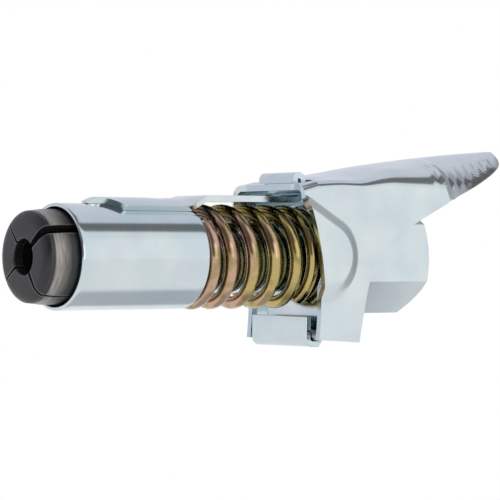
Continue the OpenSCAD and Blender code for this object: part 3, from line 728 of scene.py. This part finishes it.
def makeBracket():
    s = bracketSizes
    back, wall, floor, radius = bracketHigh.x, bracketLow.x, bracketLow.z, bracketHigh.z
    outer = s["bend"] + s["sheet"]
    rise = (floor + outer) * mm  # of both bends' middles

    def bendUp(geom, station):
        bent = bmesh.ops.spin(bm, geom=geom, cent=(station * mm, 0, rise), axis=(0, 1, 0),
                              angle=math.radians(90), steps=s["bendSteps"], use_merge=False)
        return only(bent["geom_last"], bmesh.types.BMEdge)

    bm = bmesh.new()
    rings = []
    for size in (s["bore"], radius):
        made = bmesh.ops.create_circle(bm, radius=size * mm, segments=s["ringSegments"])
        turnVerts(bm, made["verts"], 90, "Y")
        bmesh.ops.translate(bm, verts=made["verts"], vec=(back * mm, 0, 0))
        rings.append({e for v in made["verts"] for e in v.link_edges})
    bmesh.ops.bridge_loops(bm, edges=list(rings[0] | rings[1]))
    chinHalf = (s["neckHalf"] + s["neckMargin"]) * mm
    chin = [e for e in rings[1] if all(v.co.z < 0 and abs(v.co.y) < chinHalf for v in e.verts)]
    drawn = bmesh.ops.extrude_edge_only(bm, edges=chin)["geom"]
    neck = only(drawn, bmesh.types.BMVert)
    span = max(abs(v.co.y) for v in neck)
    for vert in neck:  # the neck's lower end is straight and as wide as the neck
        vert.co.y *= s["neckHalf"] * mm / span
        vert.co.z = rise
    hem = bendUp(neck + newEdges(drawn, neck), back - outer)
    laid = bmesh.ops.extrude_edge_only(bm, edges=hem)["geom"]
    lip = only(laid, bmesh.types.BMVert)
    for vert in lip:
        vert.co.x = (wall + outer) * mm
    front = set(newEdges(laid, lip))
    for side in (-1, 1):  # the floor's ears, wider than the neck
        root = max(lip, key=lambda v: v.co.y * side)
        inner = bm.verts.new(((back - s["sheet"]) * mm, root.co.y, floor * mm))
        outerBack = bm.verts.new(((back - s["sheet"]) * mm, side * s["troughHalf"] * mm, floor * mm))
        outerFront = bm.verts.new(((wall + outer) * mm, side * s["troughHalf"] * mm, floor * mm))
        bm.faces.new((root, inner, outerBack, outerFront))
        front.add(bm.edges.get((root, outerFront)))
    row = {v for e in front for v in e.verts}
    hem = bendUp(list(row) + list(front), wall + outer)
    raisedWall = bmesh.ops.extrude_edge_only(bm, edges=hem)["geom"]
    for vert in only(raisedWall, bmesh.types.BMVert):
        vert.co.z = (floor + s["wall"]) * mm
    closeUp(bm)
    plate = max(bm.faces, key=lambda f: f.calc_center_median().z)
    if plate.normal.x < 0:
        bmesh.ops.reverse_faces(bm, faces=bm.faces)
    piece = finishPiece("leverBracket", bm, "lever_bracket", "bright_zinc", 50)
    thickenSheet(piece, s["sheet"], s["edge"])


makeBracket()
print("bracket made")


# Hexagon body

bodyLow, bodyHigh = boxMm("hex_body")
hexSizes = {"flats": 18.0, "turn": 4.2, "length": 23.6, "chamfer": 1.3, "collar": 9.35, "collarBack": 3.15,
            "stem": 6.4, "shankBore": 4.12, "shankDepth": 11.0, "chamber": 3.0, "chamberLength": 11.5,
            "passage": 1.6, "inlet": 4.3, "inletDepth": 10.0, "countersink": 5.0, "cornerCuts": 15,
            "edge": 0.12, "edgeAngle": 22}
threadSizes = {"pitch": 0.94, "depth": 0.42, "turns": 9, "start": 0.6, "halfShare": 0.45, "root": 0.02,
               "steps": 40}


def makeHexBody():
    s = hexSizes
    corner = s["flats"] / 2 / math.cos(math.radians(30))
    front, back, stemFront = bodyHigh.x - s["length"], bodyHigh.x, bodyLow.x
    slope = math.tan(math.radians(30))
    collarBack = front + s["collarBack"]
    rimRadius = corner - s["chamfer"]
    seat = stemFront + s["shankDepth"]
    coneAt = seat + s["chamberLength"]
    inletEnd = back - s["inletDepth"]

    def ringsAt(r):  # each ring's station and radius for a point that is at radius r on the plain hexagon
        return [
            (front, min(r, s["collar"])), (collarBack, min(r, s["collar"])),
            (collarBack + max(0, r - s["collar"]) * slope, r),
            (back - max(0, r - rimRadius) * slope, r), (back, min(r, rimRadius)),
            (back, s["countersink"]), (back - s["countersink"] + s["inlet"], s["inlet"]),
            (inletEnd, s["inlet"]), (inletEnd - s["inlet"] + s["passage"], s["passage"]),
            (coneAt + s["chamber"] - s["passage"], s["passage"]), (coneAt, s["chamber"]),
            (seat, s["chamber"]), (seat, s["shankBore"]), (stemFront, s["shankBore"]),
            (stemFront, s["stem"]), (front, s["stem"]),
        ]

    bm = bmesh.new()
    bmesh.ops.create_circle(bm, radius=corner * mm, segments=6)
    turnVerts(bm, bm.verts, 90, "Y")
    topCorner = max(bm.verts, key=lambda v: v.co.z)
    lean = math.degrees(math.atan2(topCorner.co.y, topCorner.co.z))
    turnVerts(bm, bm.verts, lean - s["turn"], "X")
    bmesh.ops.subdivide_edges(bm, edges=bm.edges, cuts=s["cornerCuts"])
    plain = bm.verts.layers.float_vector.new("plain")
    for vert in bm.verts:
        vert[plain] = vert.co
    loop = firstLoop = list(bm.edges)
    fresh = set(bm.verts)
    for number in range(len(ringsAt(corner))):
        if number > 0:
            drawn = bmesh.ops.extrude_edge_only(bm, edges=loop)["geom"]
            fresh = set(only(drawn, bmesh.types.BMVert))
            loop = newEdges(drawn, fresh)
        for vert in fresh:
            radius = math.hypot(vert[plain].y, vert[plain].z) / mm
            station, reach = ringsAt(radius)[number]
            vert.co = (station * mm, vert[plain].y * reach / radius, vert[plain].z * reach / radius)
    bmesh.ops.bridge_loops(bm, edges=loop + firstLoop)
    closeUp(bm, 1e-6)
    piece = finishPiece("hexBody", bm, "hex_body", "bright_zinc", 20)
    softenEdges(piece, s["edge"], s["edgeAngle"], segments=2)


def makeInletThread():  # a raised helix on the inlet's wall
    s = threadSizes
    bm = bmesh.new()
    start = bodyHigh.x - hexSizes["inletDepth"] + s["start"]
    half, wall = s["pitch"] * s["halfShare"], hexSizes["inlet"]
    ridge = [(start - half, wall + s["root"]), (start, wall - s["depth"]), (start + half, wall + s["root"])]
    section = sectionLoop(bm, ridge)
    bmesh.ops.spin(bm, geom=section, cent=(0, 0, 0), axis=(1, 0, 0), angle=2 * math.pi * s["turns"],
                   dvec=(s["pitch"] / s["steps"] * mm, 0, 0), steps=s["steps"] * s["turns"], use_merge=False)
    bmesh.ops.holes_fill(bm, edges=bm.edges, sides=4)
    bmesh.ops.recalc_face_normals(bm, faces=bm.faces)
    thread = addMesh("inletThread", bm, slotMaterial["bright_zinc"])
    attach(thread, bodyOfNode["hex_body"])


makeHexBody()
makeInletThread()
print("hexagon body made")


# Parts inside, each turned from its section or wound, and the rod of the lever

insideSizes = {"bore": 3.0, "neck": 4.6, "noseLength": 1.9, "flange": 1.8, "stemAt": 6.2, "shank": 4.1,
               "passage": 1.6, "shelf": 1.5, "sealWall": 0.9, "sealCone": 1.8, "hole": 1.0,
               "headLength": 2.95, "headSeat": 1.7, "headRoom": 0.02, "grooveAt": 7.65,
               "groove": 1.4, "grooveDepth": 0.85, "tail": 2.94, "washerEdge": 0.08, "rodEdge": 0.15}
smallSpringSizes = {"wire": 0.55, "turns": 7, "sides": 10, "steps": 24, "sealRadius": 2.475,
                    "checkRadius": 1.632}


def makeInsideParts():
    s = insideSizes
    low, high = boxMm("jaw_carrier")
    nose, shankEnd, flange = low.x, high.x, high.z
    flangeAt = nose + s["noseLength"]
    neckAt = flangeAt + s["flange"]
    stemAt = nose + s["stemAt"]
    shelf = shankEnd - s["shelf"]
    carrier = turnSection([
        (nose, s["bore"], 0.1), (nose, s["neck"], 0.35), (flangeAt, s["neck"], 0), (flangeAt, flange, 0.15),
        (neckAt, flange, 0.15), (neckAt, s["neck"], 0), (stemAt, s["neck"], 0.1), (stemAt, s["shank"], 0),
        (shankEnd, s["shank"], 0.2), (shankEnd, s["passage"], 0),
        (shelf, s["passage"], 0.1), (shelf, s["bore"], 0),
    ])
    finishPiece("jawCarrier", carrier, "jaw_carrier", "phosphated_steel")
    low, high = boxMm("nipple_seal")
    lip, seat, sealRadius = low.x, high.x, high.z
    seal = turnSection([
        (lip, sealRadius - s["sealWall"], 0.15), (lip, sealRadius, 0.35), (seat, sealRadius, 0.1),
        (seat, s["hole"], 0), (lip + s["sealCone"], s["hole"], 0.2),
    ])
    finishPiece("nippleSeal", seal, "nipple_seal", "rubber")
    low, high = boxMm("seal_piston")
    head, end, headRadius = low.x, high.x, high.z
    headBack, headSeat = head + s["headLength"], head + s["headSeat"]
    headBore = sealRadius + s["headRoom"]
    groove = head + s["grooveAt"]
    grooveBack, grooveFloor = groove + s["groove"], s["tail"] - s["grooveDepth"]
    piston = turnSection([
        (head, headBore, 0), (head, headRadius, 0.3), (headBack, headRadius, 0.15),
        (headBack, s["tail"], 0), (groove, s["tail"], 0.08), (groove, grooveFloor, 0),
        (grooveBack, grooveFloor, 0), (grooveBack, s["tail"], 0.08), (end, s["tail"], 0.15),
        (end, s["hole"], 0.1), (headSeat, s["hole"], 0), (headSeat, headBore, 0),
    ])
    finishPiece("sealPiston", piston, "seal_piston", "brass")
    low, high = boxMm("sealing_washer")
    outline = ((low.x, s["bore"]), (low.x, high.z), (high.x, high.z), (high.x, s["bore"]))
    washer = turnSection([(station, radius, s["washerEdge"]) for station, radius in outline])
    finishPiece("sealingWasher", washer, "sealing_washer", "copper")


def makeRing(name, node):  # a rubber ring of round section
    low, high = boxMm(node)
    bm = bmesh.new()
    radius = (high.x - low.x) / 2
    made = bmesh.ops.create_circle(bm, radius=radius * mm, segments=20)
    centre = ((low.x + high.x) / 2 * mm, (high.z - radius) * mm, 0)
    bmesh.ops.translate(bm, verts=made["verts"], vec=centre)
    bmesh.ops.spin(bm, geom=list(bm.verts) + list(bm.edges), cent=(0, 0, 0), axis=(1, 0, 0),
                   angle=2 * math.pi, steps=72, use_merge=True)
    closeUp(bm)
    finishPiece(name, bm, node, "rubber", 60)


def makeSmallSpring(name, node, meanRadius):
    s = smallSpringSizes
    low, high = boxMm(node)
    sizes = {"wire": s["wire"], "turns": s["turns"], "endPitch": endPitchShare * s["wire"], "firstEnd": 0,
             "start": low.x, "length": high.x - low.x, "meanRadius": meanRadius}
    piece = finishPiece(name, windCoil(sizes, s["sides"], s["steps"]), node, "ground_steel", 60)
    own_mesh(piece)


def makeCheckBall():
    low, high = boxMm("check_ball")
    bm = bmesh.new()
    bmesh.ops.create_icosphere(bm, subdivisions=5, radius=(high.z - low.z) / 2 * mm)
    bmesh.ops.translate(bm, verts=bm.verts, vec=(low + high) / 2 * mm)
    finishPiece("checkBall", bm, "check_ball", "ground_steel", 60)


def makePivotRod():
    low, high = boxMm("lever_pivot_rod")
    bm = bmesh.new()
    radius = (high.z - low.z) / 2
    bmesh.ops.create_cone(bm, cap_ends=True, segments=48, radius1=radius * mm, radius2=radius * mm,
                          depth=(high.y - low.y) * mm)
    turnVerts(bm, bm.verts, 90, "X")
    bmesh.ops.translate(bm, verts=bm.verts, vec=(low + high) / 2 * mm)
    piece = finishPiece("leverPivotRod", bm, "lever_pivot_rod", "ground_steel", 50)
    softenEdges(piece, insideSizes["rodEdge"])


makeInsideParts()
makeRing("jawSpreaderRing", "jaw_spreader_ring")
makeRing("pistonRing", "piston_o_ring")
makeSmallSpring("sealSpring", "seal_spring", smallSpringSizes["sealRadius"])
makeSmallSpring("checkSpring", "check_spring", smallSpringSizes["checkRadius"])
makeCheckBall()
makePivotRod()
print("inside parts made")


# Floor, light and camera, in metres

stageSizes = {"floorBelow": 0.045, "floorRadius": 3.0, "greyAt": (-0.017, 0.012), "greyLong": 2.0,
              "whiteFrom": 0.024, "whiteTo": 0.038, "greyShare": 0.12, "floorWhite": "#f1f2f3",
              "dimFrom": 0.0, "dimTo": 0.13, "dimSpread": 1.2, "dim": 0.55}
floorHeight = cadLow.z - stageSizes["floorBelow"]


# Matt white board. It keeps the soft shadow below the part and fades to plain white farther out.
# Mirrored in the part it glows dimmer past the part's rear end, a painted shade that only reflections show.
def whiteBoard(tree, place, s):
    shaped = addNode(tree, "ShaderNodeMapping", {
        "Vector": place, "Location": (*s["greyAt"], floorHeight), "Scale": (s["greyLong"], 1, 1)},
        {"vector_type": "TEXTURE"})
    distance = addNode(tree, "ShaderNodeVectorMath", {0: shaped}, {"operation": "LENGTH"})
    away = addNode(tree, "ShaderNodeMapRange", {
        "Value": distance.outputs["Value"], "From Min": s["whiteFrom"], "From Max": s["whiteTo"],
        "To Min": s["greyShare"], "To Max": 1.0}, smooth)
    rays = addNode(tree, "ShaderNodeLightPath").outputs
    seen = rays["Is Camera Ray"]
    for kind in ("Is Glossy Ray", "Is Transmission Ray"):
        seen = addNode(tree, "ShaderNodeMath", {0: seen, 1: rays[kind]}, larger)
    share = addNode(tree, "ShaderNodeMath", {0: seen, 1: away}, times)
    # painted shade in reflections: past the part's rear end the board glows dimmer for mirrored rays, while
    # the camera still sees it white
    axes = addNode(tree, "ShaderNodeSeparateXYZ", {"Vector": place}).outputs
    beside = addNode(tree, "ShaderNodeMath", {0: axes["Y"]}, {"operation": "ABSOLUTE"})
    behind = addNode(tree, "ShaderNodeMath", {0: beside, 1: -s["dimSpread"], 2: axes["X"]},
                     {"operation": "MULTIPLY_ADD"})
    dim = addNode(tree, "ShaderNodeMapRange", {
        "Value": behind, "From Min": s["dimFrom"], "From Max": s["dimTo"],
        "To Min": 1.0, "To Max": s["dim"]}, smooth)
    glow = addNode(tree, "ShaderNodeMath", {0: dim, 1: rays["Is Camera Ray"]}, larger)
    white = addNode(tree, "ShaderNodeEmission", {"Color": (1, 1, 1, 1), "Strength": glow})
    matt = addNode(tree, "ShaderNodeBsdfDiffuse", {"Color": hexColour(s["floorWhite"])})
    return addNode(tree, "ShaderNodeMixShader", {0: share, 1: matt, 2: white})


def makeFloor():
    bm = bmesh.new()
    bmesh.ops.create_circle(bm, cap_ends=True, radius=stageSizes["floorRadius"], segments=64)
    bmesh.ops.translate(bm, verts=bm.verts, vec=(0, 0, floorHeight))
    floor = addMesh("floor", bm, makeMaterial("mattWhiteBoard", whiteBoard, stageSizes))


skySizes = {"white": 1.0, "dim": 0.2, "dimWay": (0.5, 0.0, 0.866), "dimFrom": (0.862, 0.885),
            "farWay": (-0.5, 1.0, 0.0), "farEdge": (-0.475, -0.44), "far": 0.88, "farTint": "#f4f5ff",
            "overhead": (0.87, 0.93), "overheadDim": 0.2,
            "openSides": (((-0.85, -0.53, 0.0), (0.4, 0.8), 0.2), ((0.969, 0.02, 0.245), (0.84, 0.93), 0.55))}


def makeSky():  # a white studio wall, dim overhead, where the camera stands and past the part's rear end
    s = skySizes
    world = bpy.data.worlds.new("studio")
    bpy.context.scene.world = world
    world.use_nodes = True
    tree = world.node_tree
    tree.nodes.clear()
    way = addNode(tree, "ShaderNodeTexCoord").outputs["Generated"]
    height = addNode(tree, "ShaderNodeSeparateXYZ", {"Vector": way}).outputs["Z"]
    above = addNode(tree, "ShaderNodeVectorMath", {0: way, 1: s["dimWay"]}, dot)
    near = addNode(tree, "ShaderNodeMapRange", {
        "Value": above.outputs["Value"], "From Min": s["dimFrom"][0], "From Max": s["dimFrom"][1],
        "To Min": s["white"], "To Max": s["dim"]}, smooth)
    far = addNode(tree, "ShaderNodeMapRange", {
        "Value": height, "From Min": s["overhead"][0], "From Max": s["overhead"][1],
        "To Min": s["far"], "To Max": s["overheadDim"]}, smooth)
    beyond = addNode(tree, "ShaderNodeVectorMath", {0: way, 1: s["farWay"]}, dot)
    side = addNode(tree, "ShaderNodeMapRange", {
        "Value": beyond.outputs["Value"], "From Min": s["farEdge"][0], "From Max": s["farEdge"][1]}, smooth)
    light = addNode(tree, "ShaderNodeMix", {0: side, 2: near, 3: far})
    for middleWay, edge, left in s["openSides"]:
        facing = addNode(tree, "ShaderNodeVectorMath", {0: way, 1: middleWay}, dot)
        room = addNode(tree, "ShaderNodeMapRange", {
            "Value": facing.outputs["Value"], "From Min": edge[0], "From Max": edge[1],
            "To Min": 1.0, "To Max": left}, smooth)
        light = addNode(tree, "ShaderNodeMath", {0: light, 1: room}, times)
    backdrop = addNode(tree, "ShaderNodeLightPath").outputs["Is Camera Ray"]
    shown = addNode(tree, "ShaderNodeMath", {0: light, 1: backdrop}, larger)
    mirrored = addNode(tree, "ShaderNodeMath", {0: 1.0, 1: backdrop}, {"operation": "SUBTRACT"})
    tinted = addNode(tree, "ShaderNodeMath", {0: mirrored, 1: side}, times)
    colour = addNode(tree, "ShaderNodeMixRGB", {
        "Fac": tinted, "Color1": (1, 1, 1, 1), "Color2": hexColour(s["farTint"])})
    sky = addNode(tree, "ShaderNodeBackground", {"Color": colour, "Strength": shown})
    addNode(tree, "ShaderNodeOutputWorld", {"Surface": sky})


lamps = {  # place from the part's middle in metres, size in metres, brightness as seen in a mirror
    "keyPanel": {"place": (0.50, -0.66, -0.02), "size": (1.3, 1.1), "glow": 0.08, "colour": "#fbfdff"},
    "frontPanel": {"place": (-0.125, -0.89, 0.0), "size": (0.8, 0.8), "glow": 0.9, "colour": "#ffffff"},
}
middle = Vector((-0.0341, 0, 0.00118))


def makeLamps():
    for name, lamp in lamps.items():
        light = bpy.data.lights.new(name, "AREA")
        light.shape = "RECTANGLE"
        light.size, light.size_y = lamp["size"]
        light.energy = lamp["glow"] * math.pi * lamp["size"][0] * lamp["size"][1]
        light.color = hexColour(lamp["colour"])[:3]
        panel = bpy.data.objects.new(name, light)
        panel.location = middle + Vector(lamp["place"])
        panel.rotation_euler = Vector(lamp["place"]).to_track_quat("Z", "Y").to_euler()
        bpy.context.scene.collection.objects.link(panel)


cameraSizes = {"azimuth": -36.78, "elevation": -0.075, "distance": 0.4538, "focalPixels": 2553.9,
               "imagePixels": 500, "sensorMm": 36, "clip": (0.01, 20)}


def makeCamera():
    s = cameraSizes
    turn, rise = math.radians(s["azimuth"]), math.radians(s["elevation"])
    back = Vector((math.sin(turn) * math.cos(rise), -math.cos(turn) * math.cos(rise), math.sin(rise)))
    lens = bpy.data.cameras.new("photoCamera")
    lens.sensor_width = s["sensorMm"]
    lens.lens = s["sensorMm"] * s["focalPixels"] / s["imagePixels"]
    lens.clip_start, lens.clip_end = s["clip"]
    camera = bpy.data.objects.new("photoCamera", lens)
    camera.location = middle + back * s["distance"]
    camera.rotation_euler = back.to_track_quat("Z", "Y").to_euler()
    bpy.context.scene.collection.objects.link(camera)
    bpy.context.scene.camera = camera


makeFloor()
makeSky()
makeLamps()
makeCamera()
bpy.context.scene.view_settings.view_transform = "Standard"
print("stage made")
